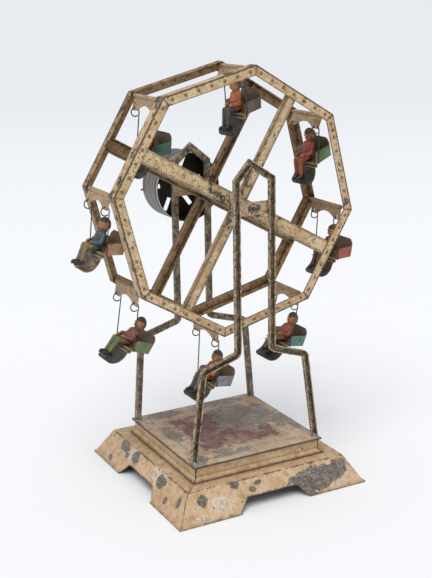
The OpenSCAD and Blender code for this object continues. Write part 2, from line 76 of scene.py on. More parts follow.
# Wires, in millimetres: radius of the eye and length below the ear
EYE_R = 3.1
WIRE_DROP = 34

# Paints as tone, paler and deeper shade
CREAM = ("#c4a57b", "#d6be97", "#9a7448")
CREAM_GREY = ("#b49a7b", "#c6ae8f", "#84664a")
CREAM_WARM = ("#c5a47d", "#d3b794", "#a68157")
# A browner, darker copy of the cream for the rear rim and rear spokes, partly grime and partly painted
# shade behind the front of the wheel; the pivot rods take it too
CREAM_BROWN_SHADED = ("#a3835a", "#b4966d", "#6d5030")
TRESTLE_GREY = ("#b09a7a", "#c4b092", "#6f5b44")
# The channels' inside in a darker copy of the trestle paint, as painted shade, and their cut edges in a
# paler copy, as painted highlight
TRESTLE_SHADED = ("#a08c6d", "#b39f80", "#5f4e3a")
TRESTLE_LIP_LIT = ("#bba584", "#cdb999", "#7f6a50")
LEG_GREY = ("#a08d70", "#b29f82", "#64543f")
HANGER_TAN = ("#ab8d69", "#bfa380", "#7c5f41")
SEAT_BROWN = ("#6b5840", "#7d6a4e", "#463626")
NOSE_TAN = ("#9c8562", "#b09a78", "#6d573c")
# Stains and single tones, some of which also serve as painted shade
RUST = "#5f3f22"
# This brown serves both as grime and as painted shade in hollows, creases and inside the base
DIRT_AND_SHADE = "#33241a"
# This dark brown is both the grime round chips and the painted shade in corners
GRIME_AND_SHADE = "#43321f"
SCUFF = "#d2cec6"
PIP = "#7c5631"
MAROON = "#7a4f4a"
FRAME_LINE = "#4c4038"
BRINK = "#3a322a"
DEEP_SHADE = "#17130e"
FOLD_SHADE = "#1d150e"
SKIN = "#b57b50"
HAIR = "#46301f"
SHOE = "#1b1917"
LIPS = "#7c3a2c"
# Plate: tone and the stains over it, of the border, of the panel inside it and of its bare metal
BORDER_TONES = ("#cdb599", "#b99d82", "#957e6b", "#6a5646")
PANEL_TONES = (MAROON, "#6b4742", "#a88c7f", "#b09a8c")
PLATE_METAL = ("#746a5e", "#a0978a", "#c6bdae", MAROON)
# Metal under paint as tone, darker and paler shade: of the plinth, most other pieces and the rear trestle
METAL_STAND = ("#857c71", "#5f564c", "#b3aea4")
METAL_WHEEL = ("#5b5046", "#3d342c", "#8f877c")
METAL_LEG = ("#6f675e", "#4b443d", "#a29c93")
METAL_PALE = "#a9a59d"
METAL_DARK = "#473f37"
# Unpainted metal as dark and pale tone
SOLDER_TONES = ("#6d6a65", "#a3a19b")
DRUM_TONES = ("#4a4744", "#7f7c77")
# Near-black tones of the drum's disc, painted shade inside the drum
DISC_SHADE_TONES = ("#1d1913", "#2f2921")
STEEL_TONES = ("#2b2723", "#504b45")
FOOT_DARK = "#3b3530"
# Of each gondola from 1 to 8: panel, the panel's faded shade, coat, legs and footrest
SEAT_PAINT = ["#0f5d57", "#5c544c", "#4a7440", "#a0443c", "#41806f", "#767d89", "#3c7349", "#b24f55"]
SEAT_FADE = ["#2c6b62", "#6b6257", "#8fa37e", "#b0655a", "#5c8f7f", "#8b8f98", "#7d7f52", "#a98a66"]
COAT_PAINT = ["#a04a30", "#c2672f", "#ab4a44", "#4c382d", "#b25b4a", "#b9682d", "#8d5241", "#38585e"]
LEG_PAINT = ["#5d5650", "#4f4944", "#a5532f", "#5f4330", "#81765f", "#5b5857", "#6a7444", "#8a7a50"]
FOOT_PAINT = ["#5f574e", "#5a534b", "#4d4842", "#5c5248", "#4c4743", "#5a544c", "#55504a", "#a18564"]


def linear(code):
    """A hex colour as linear red, green, blue and alpha"""
    parts = [int(code[i : i + 2], 16) / 255 for i in (1, 3, 5)]
    return [c / 12.92 if c <= 0.04045 else ((c + 0.055) / 1.055) ** 2.4 for c in parts] + [1.0]


class Finish:
    """The nodes of one material, in millimetres from an origin. Each method gives a node's output."""

    def __init__(self, name, origin=(0, 0, 0)):
        self.material = bpy.data.materials.new(name)
        self.material.use_nodes = True
        self.nodes = self.material.node_tree.nodes
        self.links = self.material.node_tree.links
        self.shader = self.nodes["Principled BSDF"]
        self.metres = self.vector("SUBTRACT", self.add("TexCoord").outputs["Object"], origin)
        self.place = self.vector("DIVIDE", self.metres, (MM, MM, MM))
        self.x, self.y, self.z = self.add("SeparateXYZ", None, {0: self.place}).outputs

    def put(self, socket, value):
        """Link an output to a socket, or set the socket to a plain value or a hex colour"""
        if isinstance(value, bpy.types.NodeSocket):
            self.links.new(value, socket)
        elif isinstance(value, str):
            socket.default_value = linear(value)
        else:
            socket.default_value = value

    def add(self, kind, settings=None, inputs=()):
        node = self.nodes.new("ShaderNode" + kind)
        for name, value in (settings or {}).items():
            setattr(node, name, value)
        for key, value in dict(inputs).items():
            self.put(node.inputs[key], value)
        return node

    def math(self, kind, first, second=0.0):
        return self.add("Math", {"operation": kind}, {0: first, 1: second}).outputs[0]

    def plus(self, first, second):
        return self.math("ADD", first, second)

    def minus(self, first, second):
        return self.math("SUBTRACT", first, second)

    def times(self, first, second):
        return self.math("MULTIPLY", first, second)

    def size(self, value):
        return self.math("ABSOLUTE", value)

    def vector(self, kind, first, second=(0, 0, 0), output=0):
        return self.add("VectorMath", {"operation": kind}, {0: first, 1: second}).outputs[output]

    def length(self, place):
        return self.vector("LENGTH", place, output="Value")

    def square_reach(self):
        """How far a place lies from the origin along X or Y, whichever is more"""
        return self.math("MAXIMUM", self.size(self.x), self.size(self.y))

    def round_reach(self):
        """How far a place lies from the origin, seen along Y"""
        return self.length(self.vector("MULTIPLY", self.place, (1, 0, 1)))

    def noise(self, size, detail=3.0, rough=0.55, seed=0.0, stretch=None):
        """Clouds round 0.5, about size wide. The seed is a place too, so they are worked out in metres."""
        place = self.vector("MULTIPLY", self.metres, stretch) if stretch else self.metres
        scale = 1 / (size * MM)
        inputs = {"Vector": place, "W": seed, "Scale": scale, "Detail": detail, "Roughness": rough}
        return self.add("TexNoise", {"noise_dimensions": "4D"}, inputs).outputs[0]

    def ramp(self, value, low, high, first=0.0, last=1.0):
        """A smooth rise from first at low to last at high"""
        inputs = {0: value, 1: low, 2: high, 3: first, 4: last}
        return self.add("MapRange", {"interpolation_type": "SMOOTHSTEP"}, inputs).outputs[0]

    def below(self, value, limit, soft):
        return self.ramp(value, limit - soft, limit + soft, 1.0, 0.0)

    def above(self, value, limit, soft):
        return self.ramp(value, limit - soft, limit + soft)

    def near(self, value, target, width):
        return self.ramp(self.size(self.minus(value, target)), 0.5 * width, width, 1.0, 0.0)

    def torn(self, value, clouds, amount):
        """A value made ragged by clouds"""
        return self.plus(value, self.times(self.minus(clouds, 0.5), amount))

    def mix(self, share, first, second):
        return self.add("Mix", {"data_type": "RGBA"}, {0: share, 6: first, 7: second}).outputs[2]

    def most(self, *values):
        top = values[0]
        for value in values[1:]:
            top = self.math("MAXIMUM", top, value)
        return top

    def crevice(self, reach):
        """1 deep in corners, 0 in the open: an occlusion amount, used for painted shade"""
        seen = self.add("AmbientOcclusion", {"samples": 6}, {"Distance": reach * MM}).outputs["AO"]
        return self.minus(1.0, seen)

    def spot(self, middle, radii, clouds, ragged=1.8):
        """1 inside a ragged blot"""
        away = self.vector("DIVIDE", self.vector("SUBTRACT", self.place, middle), radii)
        depth = self.minus(1.0, self.length(away))
        return self.ramp(self.torn(depth, clouds, ragged), 0.0, 0.15)

    def coat(self, colour, roughness, metallic, height, depth):
        """Join the patterns to the shader, with the height pattern as bumps of that depth"""
        self.put(self.shader.inputs["Base Color"], colour)
        self.put(self.shader.inputs["Roughness"], roughness)
        self.put(self.shader.inputs["Metallic"], metallic)
        bump = self.add("Bump", None, {"Height": height, "Distance": depth * MM, "Strength": 0.7})
        self.put(self.shader.inputs["Normal"], bump.outputs[0])
        return self.material


def worn_paint(name, tones, wear, seed, origin=(0, 0, 0), flecks=0.6, metals=METAL_WHEEL, chip=7, **masks):
    """Old stained paint, worn off in chips and by the marks mask, with painted shade in its corners; the
    other masks are grime with painted shade, pips and scuffs
    """
    finish = Finish(name, origin)
    paint, pale, deep = tones
    large = finish.noise(16, 4, 0.6, seed)
    middle = finish.noise(5, 5, 0.68, seed + 1)
    fine = finish.noise(1.3, 4, 0.66, seed + 2)
    grain = finish.noise(0.4, 2, 0.5, seed + 3)
    tone = finish.mix(finish.ramp(large, 0.38, 0.62), paint, pale)
    tone = finish.mix(finish.ramp(middle, 0.44, 0.68, 0, 0.85), tone, deep)
    tone = finish.mix(finish.ramp(fine, 0.36, 0.46, 0.4, 0), tone, pale)
    if "scuffs" in masks:
        tone = finish.mix(masks["scuffs"](finish, fine), tone, SCUFF)
    tone = finish.mix(finish.ramp(finish.torn(fine, large, 0.3), flecks, flecks + 0.05, 0, 0.9), tone, RUST)
    # The second mask paints brown that is partly grime and partly painted shade
    for kind, stain_and_shade in (("pips", PIP), ("dirt_and_shade", DIRT_AND_SHADE)):
        if kind in masks:
            tone = finish.mix(masks[kind](finish, fine), tone, stain_and_shade)
    # Painted shade: the paint darkens where ambient occlusion finds corners
    corners = finish.times(finish.crevice(4), finish.ramp(middle, 0.25, 0.6, 0.5, 1.2))
    tone = finish.mix(finish.ramp(corners, 0.16, 0.8, 0, 0.85), tone, GRIME_AND_SHADE)
    field = finish.noise(chip, 7, 0.72, seed + 4)
    if "marks" in masks:
        field = finish.plus(field, finish.times(masks["marks"](finish, fine), 0.35))
    lost = finish.ramp(field, wear, wear + 0.02)
    tone = finish.mix(finish.ramp(field, wear - 0.04, wear, 0, 0.7), tone, GRIME_AND_SHADE)
    bare, dark, bright = metals
    metal = finish.mix(finish.ramp(middle, 0.35, 0.6), bare, dark)
    metal = finish.mix(finish.ramp(finish.torn(fine, large, -0.2), 0.53, 0.66, 0, 0.85), metal, bright)
    colour = finish.mix(lost, tone, metal)
    roughness = finish.ramp(grain, 0.3, 0.7, 0.42, 0.64)
    height = finish.minus(finish.times(grain, 0.35), lost)
    return finish.coat(colour, roughness, finish.times(lost, 0.2), height, 0.12)


def bare_tin(name, tones, seed, stretch=None, origin=(0, 0, 0), inside=None, bright=None):
    """Unpainted sheet or wire with streaks and rust, with a dark inside or a bright edge where wanted"""
    finish = Finish(name, origin)
    dark, pale = tones
    streaks = finish.noise(3, 5, 0.68, seed, stretch)
    fine = finish.noise(0.8, 4, 0.66, seed + 1, stretch)
    tone = finish.mix(finish.ramp(streaks, 0.36, 0.64), dark, pale)
    tone = finish.mix(finish.ramp(fine, 0.55, 0.72, 0, 0.6), tone, METAL_PALE)
    stains = finish.noise(6, 5, 0.66, seed + 2)
    tone = finish.mix(finish.ramp(stains, 0.54, 0.68, 0, 0.6), tone, RUST)
    if bright:
        tone = finish.mix(bright(finish, fine), tone, SCUFF)
    if inside:
        tone = finish.mix(inside(finish), tone, DEEP_SHADE)
    return finish.coat(tone, finish.ramp(fine, 0.3, 0.7, 0.42, 0.6), 0.15, streaks, 0.06)


def figure_paint(name, paint, seed, shine=0.42):
    """Brushed paint on a cast figure, with painted shade in the folds, and chipped to dark metal"""
    finish = Finish(name)
    clouds = finish.noise(4, 5, 0.65, seed)
    grain = finish.noise(0.7, 4, 0.65, seed + 1)
    tone = finish.mix(finish.ramp(clouds, 0.42, 0.66, 0, 0.7), paint, METAL_DARK)
    tone = finish.mix(finish.ramp(grain, 0.56, 0.7, 0, 0.4), tone, CREAM[0])
    # Painted shade in the folds, where ambient occlusion finds them
    tone = finish.mix(finish.ramp(finish.crevice(3), 0.12, 0.6, 0, 0.92), tone, FOLD_SHADE)
    chips = finish.ramp(finish.noise(2.6, 6, 0.72, seed + 2), 0.59, 0.61)
    tone = finish.mix(chips, tone, DIRT_AND_SHADE)
    height = finish.minus(finish.times(grain, 0.5), chips)
    return finish.coat(tone, shine, 0.0, height, 0.1)


# Meshes
def mesh_object(name, bm, materials, body, smooth_angle=40):
    """An object at its rest place that rides on a body"""
    bmesh.ops.recalc_face_normals(bm, faces=bm.faces)
    mesh = bpy.data.meshes.new(name)
    bm.to_mesh(mesh)
    bm.free()
    for material in materials:
        mesh.materials.append(material)
    mesh.shade_smooth()
    mesh.set_sharp_from_angle(angle=math.radians(smooth_angle))
    obj = bpy.data.objects.new(name, mesh)
    bpy.context.scene.collection.objects.link(obj)
    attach(obj, body)
    return obj


def bevelled(bm, width, angle=35):
    """Round the sharp edges of a mesh"""
    bm.normal_update()
    sharp = [e for e in bm.edges if e.is_manifold and e.calc_face_angle() > math.radians(angle)]
    bmesh.ops.bevel(
        bm, geom=sharp, offset=width, segments=2, profile=0.5, affect="EDGES", clamp_overlap=True
    )


def sheet(bm, path, half_widths, thickness, columns=8):
    """A bent strip: path is the line of its upper face in X and Z, with its half width at each point"""
    rows = []
    for i, point in enumerate(path):
        before = path[max(i - 1, 0)]
        after = path[min(i + 1, len(path) - 1)]
        along = (after - before).normalized()
        under = point + Vector((along.y, -along.x)) * thickness
        across = [half_widths[i] * (2 * j / columns - 1) for j in range(columns + 1)]
        rows.append([[bm.verts.new((p.x, y, p.y)) for y in across] for p in (point, under)])
    for (top, low), (next_top, next_low) in zip(rows, rows[1:]):
        for j in range(columns):
            bm.faces.new((top[j], top[j + 1], next_top[j + 1], next_top[j]))
            bm.faces.new((low[j + 1], low[j], next_low[j], next_low[j + 1]))
        bm.faces.new((low[0], top[0], next_top[0], next_low[0]))
        bm.faces.new((top[columns], low[columns], next_low[columns], next_top[columns]))
    for top, low in (rows[0], rows[-1]):
        for j in range(columns):
            bm.faces.new((top[j], low[j], low[j + 1], top[j + 1]))


def prism(bm, outline, y0, y1):
    """A plate whose outline is drawn in X and Z"""
    ends = [[bm.verts.new((p[0], y, p[1])) for p in outline] for y in (y0, y1)]
    bm.faces.new(ends[0])
    bm.faces.new(list(reversed(ends[1])))
    count = len(outline)
    for i in range(count):
        j = (i + 1) % count
        bm.faces.new((ends[0][j], ends[0][i], ends[1][i], ends[1][j]))


def arc(middle, radius, start, stop, steps):
    """Points on a round bend, angles in degrees"""
    turns = [math.radians(start + (stop - start) * i / steps) for i in range(steps + 1)]
    return [middle + radius * Vector((math.cos(t), math.sin(t))) for t in turns]


def rounded_path(path, radii, steps=6):
    """A path with its inner corners turned into round bends, or kept sharp where the radius is 0"""
    points = [path[0]]
    for before, corner, after, radius in zip(path, path[1:], path[2:], radii):
        if not radius:
            points.append(corner)
            continue
        back = (before - corner).normalized()
        ahead = (after - corner).normalized()
        half = back.angle(ahead) / 2
        reach = radius / math.tan(half)
        middle = corner + (back + ahead).normalized() * radius / math.sin(half)
        first = (corner + back * reach - middle).normalized()
        last = (corner + ahead * reach - middle).normalized()
        for i in range(steps + 1):
            points.append(middle + radius * first.slerp(last, i / steps))
    return points + [path[-1]]


def dented(bm, depth, size):
    """Move the vertices a little, as hand-bent sheet is never flat"""
    for vert in bm.verts:
        vert.co += noise.noise_vector(vert.co / size) * depth


def transformed(bm, matrix):
    bmesh.ops.transform(bm, matrix=matrix, verts=bm.verts)


def turn_y(degrees):
    return Matrix.Rotation(math.radians(degrees), 4, "Y")


def wire_place(k):
    """From millimetres round the ear of a gondola's wires to their rest place"""
    ear = Vector(joints["gondola_%d_swing" % k]["pos_m"])
    return Matrix.Translation(ear) @ turn_y(SWING[k - 1]) @ Matrix.Scale(MM, 4)


def bench_place(k):
    """From millimetres round the wires' feet at a gondola's bench to its rest place"""
    hang = Vector((EYE_R, 0, -WIRE_DROP - DROOP[k - 1]))
    return wire_place(k) @ Matrix.Translation(hang) @ turn_y(TILT[k - 1] - SWING[k - 1])


# Seats and footrests, drawn in millimetres from the wires' feet
SEAT_W = 30.4
SEAT_T = 0.7
NOSE = Vector((-3, -1.0))
NOSE_R = 1.2
FOLD_X = 12.8
BACK_H = 12.4
BACK_CUT = 3.8
BACK_LEAN = math.radians(16)
PANEL_FRONT = -1.5
PANEL_H = 7.6
RISER_LEAN = 20
RISER_L = 3
SCOOP_R = 12
SCOOP_TURN = 45
TOE_L = 4
TOE_ROUND = 5
FOOT_W = 28.4


def seat(k, materials):
    """Bench, rolled edge and back from one bent strip, between two painted side panels"""
    lean = Vector((math.sin(BACK_LEAN), math.cos(BACK_LEAN)))
    roll = arc(NOSE, NOSE_R, -150, 90, 12)
    fold = arc(Vector((FOLD_X - 1, 1)), 1, 270, 360 - math.degrees(BACK_LEAN), 4)
    back_foot = fold[-1]
    cut_steps = 4
    rise = [back_foot + lean * (BACK_H - BACK_CUT) * i / 3 for i in range(1, 4)]
    top = [rise[-1] + lean * BACK_CUT * i / cut_steps for i in range(1, cut_steps + 1)]
    path = roll + fold + rise + top
    half = SEAT_W / 2 - SEAT_T - 0.05
    widths = [SEAT_W / 2] * len(roll) + [half] * (len(fold) + len(rise))
    for i in range(1, cut_steps + 1):
        widths.append(half - BACK_CUT * (i / cut_steps) ** 1.6)
    bm = bmesh.new()
    sheet(bm, path, widths, SEAT_T, 10)
    brown_faces = len(bm.faces)
    tan = math.tan(BACK_LEAN)
    panel = [
        (PANEL_FRONT, -SEAT_T),
        (FOLD_X - 0.1, -SEAT_T),
        (FOLD_X + tan * PANEL_H, PANEL_H - 0.6),
        (FOLD_X + tan * PANEL_H - 0.6, PANEL_H),
        (PANEL_FRONT + tan * PANEL_H + 1.2, PANEL_H),
        (PANEL_FRONT + tan * PANEL_H, PANEL_H - 1.2),
    ]
    for side in (-1, 1):
        outer = side * SEAT_W / 2
        prism(bm, panel, outer - side * SEAT_T, outer)
    bm.faces.ensure_lookup_table()
    for face in bm.faces[:brown_faces]:
        face.material_index = 2 if face.calc_center_median().x < PANEL_FRONT else 1
    bevelled(bm, 0.12)
    dented(bm, 0.12, 9)
    transformed(bm, bench_place(k))
    obj = mesh_object("seat_shell_%d" % k, bm, materials, "gondola_%d" % k)
    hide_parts("seat_%d" % k)


def footrest(k, material):
    """A strip that drops from the bench's rolled edge and scoops forwards to a round toe"""
    riser = math.radians(-90 - RISER_LEAN)
    down = Vector((math.cos(riser), math.sin(riser)))
    front = Vector((down.y, -down.x))
    start = NOSE + (NOSE_R + 0.05) * down - front * SEAT_T / 2
    bend = start + RISER_L * down
    middle = bend + front * (SCOOP_R - SEAT_T / 2)
    first = -90 - RISER_LEAN + 90
    curve = arc(middle, SCOOP_R - SEAT_T / 2, first, first - SCOOP_TURN, 10)
    toe = math.radians(-90 - RISER_LEAN - SCOOP_TURN)
    ahead = Vector((math.cos(toe), math.sin(toe)))
    straight = [start, start + 0.5 * RISER_L * down]
    tip_steps = 6
    tip = [curve[-1] + ahead * TOE_L * i / tip_steps for i in range(1, tip_steps + 1)]
    path = straight + curve + tip
    lengths = [0.0]
    for p, q in zip(path, path[1:]):
        lengths.append(lengths[-1] + (q - p).length)
    widths = []
    for length in lengths:
        left = lengths[-1] - length
        inset = TOE_ROUND - math.sqrt(max(0.0, TOE_ROUND**2 - max(0.0, TOE_ROUND - left) ** 2))
        widths.append(FOOT_W / 2 - inset)
    bm = bmesh.new()
    sheet(bm, path, widths, SEAT_T, 12)
    bevelled(bm, 0.12)
    dented(bm, 0.18, 8)
    transformed(bm, bench_place(k))
    obj = mesh_object("footrest_strip_%d" % k, bm, [material], "gondola_%d" % k)
    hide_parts("footrest_%d" % k)


# Figures, drawn in millimetres from the wires' feet: places in X and Z
HIP = Vector((1, 3.4))
CHEST = Vector((4.4, 11))
NECK = Vector((6.2, 14.2))
HEAD = Vector((7.4, 18.6))
ELBOW = Vector((1.6, 6.6))
HAND = Vector((-4.2, 7))
KNEE = Vector((-7.2, 4))
ANKLE = Vector((-11, -5.2))
HEEL = Vector((-10.6, -7.3))
TOE = Vector((-15.8, -7.3))
LEG_Y = 2.7
SHOULDER_Y = 4.6
ELBOW_Y = 6.6
HAND_Y = 3.6
HEAD_SIZE = Vector((4.3, 3.9, 5.2))
# Painted marks, from the middle of the head
EYE = Vector((-3.85, 0.55))
EYE_Y = 1.45
BROW_IN = Vector((-3.95, 1.55))
BROW_OUT = Vector((-3.75, 1.6))
MOUTH = Vector((-3.75, -2.2))
MOUTH_HALF = 0.8
HAIR_LIFT = 0.4
# Grain and smoothing of the moulded parts
BODY_GRAIN = (0.32, 4)
FINE_GRAIN = (0.28, 3)
SOLDER_GRAIN = (0.3, 4)


def ball(bm, place, radius, squeeze=(1, 1, 1)):
    """A sphere, or an egg where squeezed; gives its vertices"""
    matrix = Matrix.Translation(place) @ Matrix.Diagonal((*squeeze, 1))
    made = bmesh.ops.create_uvsphere(bm, u_segments=16, v_segments=10, radius=radius, matrix=matrix)
    return made["verts"]


def limb(bm, first, first_y, first_r, last, last_y, last_r):
    """The skin stretched over two balls"""
    verts = ball(bm, (first.x, first_y, first.y), first_r)
    verts += ball(bm, (last.x, last_y, last.y), last_r)
    hull = bmesh.ops.convex_hull(bm, input=verts)
    inner = {g for key in ("geom_interior", "geom_unused") for g in hull[key]}
    bmesh.ops.delete(bm, geom=[g for g in inner if isinstance(g, bmesh.types.BMVert)], context="VERTS")


def moulded(bm, voxel, passes):
    """One smooth skin over all the shapes in a mesh"""
    mesh = bpy.data.meshes.new("skin")
    bm.to_mesh(mesh)
    bm.free()
    obj = bpy.data.objects.new("skin", mesh)
    bpy.context.scene.collection.objects.link(obj)
    remesh = obj.modifiers.new("remesh", "REMESH")
    remesh.mode = "VOXEL"
    remesh.voxel_size = voxel
    smooth = obj.modifiers.new("smooth", "SMOOTH")
    smooth.factor = 0.5
    smooth.iterations = passes
    shaped = obj.evaluated_get(bpy.context.evaluated_depsgraph_get())
    result = bpy.data.meshes.new_from_object(shaped)
    bpy.data.objects.remove(obj)
    bpy.data.meshes.remove(mesh)
    return result


def leaned(point, degrees):
    """A place on the upper body, leaned about the hip"""
    turn = math.radians(degrees)
    away = point - HIP
    cos, sin = math.cos(turn), math.sin(turn)
    return HIP + Vector((away.x * cos + away.y * sin, away.y * cos - away.x * sin))


def jacket(lean):
    bm = bmesh.new()
    chest, neck, elbow = (leaned(p, lean) for p in (CHEST, NECK, ELBOW))
    spine = (neck - chest).normalized()
    for side in (-1, 1):
        limb(bm, HIP, side * 1.4, 3.7, chest, side * 1.5, 3.8)
        limb(bm, HIP, side * 1.9, 3.5, HIP + Vector((-3.2, 0.5)), side * 2.3, 3.0)
        limb(bm, chest + spine * 0.8, side * 1.2, 3.0, chest + spine * 1.3, side * 4.3, 1.9)
        limb(bm, chest + spine * 0.9, side * SHOULDER_Y, 1.9, elbow, side * ELBOW_Y, 1.7)
        limb(bm, elbow, side * ELBOW_Y, 1.7, HAND + Vector((1.3, -0.1)), side * (HAND_Y + 0.8), 1.5)
    limb(bm, chest, 0, 3.6, neck, 0, 2.3)
    ring = neck + spine * 0.4
    across = Vector((spine.y, -spine.x))
    for i in range(14):
        turn = 2 * math.pi * i / 14
        at = ring + across * (2.3 * math.cos(turn))
        ball(bm, (at.x, 2.3 * math.sin(turn), at.y), 0.65)
    return moulded(bm, *BODY_GRAIN)


def trousers():
    bm = bmesh.new()
    for side in (-1, 1):
        limb(bm, HIP, side * LEG_Y, 2.6, KNEE, side * LEG_Y, 2.35)
        limb(bm, KNEE, side * LEG_Y, 2.35, ANKLE, side * LEG_Y, 1.75)
        ball(bm, (ANKLE.x, side * LEG_Y, ANKLE.y), 1.95)
    return moulded(bm, *BODY_GRAIN)


def shoes():
    bm = bmesh.new()
    for side in (-1, 1):
        y = side * LEG_Y
        limb(bm, HEEL, y, 1.8, TOE + Vector((0.5, -0.3)), y, 1.55)
        limb(bm, ANKLE, y, 1.6, HEEL, y, 1.75)
        for at, radius in ((HEEL + Vector((0.3, -1.4)), 1.75), (TOE + Vector((0.3, -1.35)), 1.75)):
            ball(bm, (at.x, y, at.y), radius, (1, 1, 0.35))
        limb(bm, HEEL + Vector((0.2, -1.2)), y, 0.75, TOE + Vector((0, -1.2)), y, 0.75)
    return moulded(bm, *FINE_GRAIN)


def hands():
    bm = bmesh.new()
    for side in (-1, 1):
        ball(bm, (HAND.x, side * HAND_Y, HAND.y), 1.55, (1.15, 0.8, 0.9))
        ball(bm, (HAND.x + 0.2, side * (HAND_Y - 0.9), HAND.y + 0.7), 0.7)
    return moulded(bm, *FINE_GRAIN)


def head(lean):
    """Head and neck with a plain nose, brow, chin and ears"""
    bm = bmesh.new()
    middle, neck = leaned(HEAD, lean), leaned(NECK, lean)
    limb(bm, neck, 0, 1.95, middle, 0, 2.1)
    width = HEAD_SIZE.x
    ball(bm, (middle.x, 0, middle.y), 1, HEAD_SIZE)
    ball(bm, (middle.x - 0.9, 0, middle.y - 2.4), 2.9, (1, 0.95, 0.95))
    limb(bm, middle + Vector((-width + 0.1, 0.5)), 0, 0.45, middle + Vector((-width - 0.3, -0.7)), 0, 0.75)
    for side in (-1, 1):
        ball(bm, (middle.x + 0.5, side * (HEAD_SIZE.y - 0.1), middle.y - 0.4), 1.0, (0.8, 0.6, 1.2))
        ball(bm, (middle.x - 2.9, side * 1.5, middle.y - 1.4), 1.3)
    limb(bm, middle + Vector((-3.7, 1.3)), -1.6, 0.6, middle + Vector((-3.7, 1.3)), 1.6, 0.6)
    return moulded(bm, *FINE_GRAIN), middle


def hair_depth(place, middle):
    """How far inside the hair a place on the head lies, below 0 on the face"""
    back = place.x - middle.x
    up = place.z - middle.y
    fringe = up - 2.7 + 0.25 * (back + HEAD_SIZE.x)
    nape = min(back - 1.5, up + 3.4)
    return max(fringe, nape)


def paint_from(bm, start, index):
    """Give a material to all the faces made since there were start of them"""
    bm.faces.ensure_lookup_table()
    for face in bm.faces[start:]:
        face.material_index = index


def rider(k, paints):
    """A seated figure: jacket, trousers, shoes, hands, and a head with hair and painted eyes and mouth"""
    lean = SLOUCH[k - 1]
    bm = bmesh.new()
    head_mesh, middle = head(lean)
    parts = [(jacket(lean), 0), (trousers(), 1), (shoes(), 2), (hands(), 3), (head_mesh, 3)]
    for mesh, index in parts:
        start = len(bm.faces)
        bm.from_mesh(mesh)
        bpy.data.meshes.remove(mesh)
        paint_from(bm, start, index)
    head_faces = bm.faces[start:]
    bm.normal_update()
    lifts = {}
    for face in head_faces:
        if hair_depth(face.calc_center_median(), middle) > 0:
            face.material_index = 4
        for vert in face.verts:
            depth = hair_depth(vert.co, middle)
            lifts[vert] = vert.normal * HAIR_LIFT * min(1.0, max(0.0, depth / 0.5))
    for vert, lift in lifts.items():
        vert.co += lift
    start = len(bm.faces)
    for side in (-1, 1):
        ball(bm, (middle.x + EYE.x, side * EYE_Y, middle.y + EYE.y), 0.5, (0.6, 1.1, 0.8))
        limb(bm, middle + BROW_IN, side * 0.9, 0.2, middle + BROW_OUT, side * 2.1, 0.18)
    paint_from(bm, start, 4)
    start = len(bm.faces)
    limb(bm, middle + MOUTH, -MOUTH_HALF, 0.28, middle + MOUTH, MOUTH_HALF, 0.28)
    paint_from(bm, start, 5)
    transformed(bm, bench_place(k) @ Matrix.Translation((SCOOT[k - 1], 0, 0)))
    obj = mesh_object("rider_%d" % k, bm, paints, "gondola_%d" % k, 60)
    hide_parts("figure_%d" % k)


# Wires, in millimetres from the ears
WIRE_Y = 15.8
WIRE_R = 0.46
EYE_CLOSED = 316


def skinned(bm, rings, paints):
    """Faces from ring to ring of vertices, closed at both ends; paints is the material along each strip"""
    count = len(paints)
    for ring, following in zip(rings, rings[1:]):
        for i in range(count):
            j = (i + 1) % count
            face = bm.faces.new((ring[i], ring[j], following[j], following[i]))
            face.material_index = paints[i]
    bm.faces.new(rings[0])
    bm.faces.new(rings[-1])


def tube(bm, path, radius, sides=8):
    """A round wire along a path, with closed ends"""
    rings = []
    normal = Vector((0, 1, 0))
    for i, point in enumerate(path):
        along = (path[min(i + 1, len(path) - 1)] - path[max(i - 1, 0)]).normalized()
        normal = (normal - along * normal.dot(along)).normalized()
        other = along.cross(normal)
        ring = []
        for j in range(sides):
            turn = 2 * math.pi * j / sides
            ring.append(bm.verts.new(point + radius * (normal * math.cos(turn) + other * math.sin(turn))))
        rings.append(ring)
    skinned(bm, rings, [0] * sides)


def wires(k, material):
    """Two wires from the foot of the seat up to a round eye, bent nearly shut"""
    drop = WIRE_DROP + DROOP[k - 1] + SEAT_T
    bm = bmesh.new()
    for side in (-1, 1):
        eye = arc(Vector((0, -EYE_R)), EYE_R, 0, EYE_CLOSED, 30)
        line = [Vector((EYE_R, -EYE_R - (drop - EYE_R) * (1 - i / 6))) for i in range(6)]
        path = []
        for p in line + eye:
            path.append(Vector((p.x, side * WIRE_Y, p.y)))
        tube(bm, path, WIRE_R)
    transformed(bm, wire_place(k))
    obj = mesh_object("bent_wires_%d" % k, bm, [material], "gondola_%d" % k)
    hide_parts("wires_%d" % k)


# Trestles, in millimetres from the middle of the base
TRESTLE_Y = 49.0
CHANNEL_W = 5
CHANNEL_D = 3.4
CHANNEL_T = 0.7
FOOT_X = 52.9
FRONT_LEG_SPAN = 87
REAR_LEG_SPAN = 95
GABLE_SHIFT = -3.5
UPRIGHT_SPAN = 28.8
BEND_DROP = 106.5
CRANK_FALL = 9.5
GABLE_H = 21
GABLE_RISE = 12
BEND_R = 3.4
CHANNEL_R = 0.9
SOLDER_BLOBS = 9
SOLDER_REACH = (2.6, 2.1)
SOLDER_INSET = 0.9
plate_low, plate_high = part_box("base_top_plate")
base_middle = Vector(((plate_low.x + plate_high.x) / 2, (plate_low.y + plate_high.y) / 2, 0))
PLATE_Z = plate_high.z / MM
PLATE_HALF = (plate_high.x - plate_low.x) / 2 / MM
on_base = Matrix.Translation(base_middle) @ Matrix.Scale(MM, 4)


def cut_flat(bm, height):
    """Keep what lies above a height, closed below"""
    geometry = bm.verts[:] + bm.edges[:] + bm.faces[:]
    bmesh.ops.bisect_plane(bm, geom=geometry, plane_co=(0, 0, height), plane_no=(0, 0, 1), clear_inner=True)
    bmesh.ops.holes_fill(bm, edges=[e for e in bm.edges if e.is_boundary])


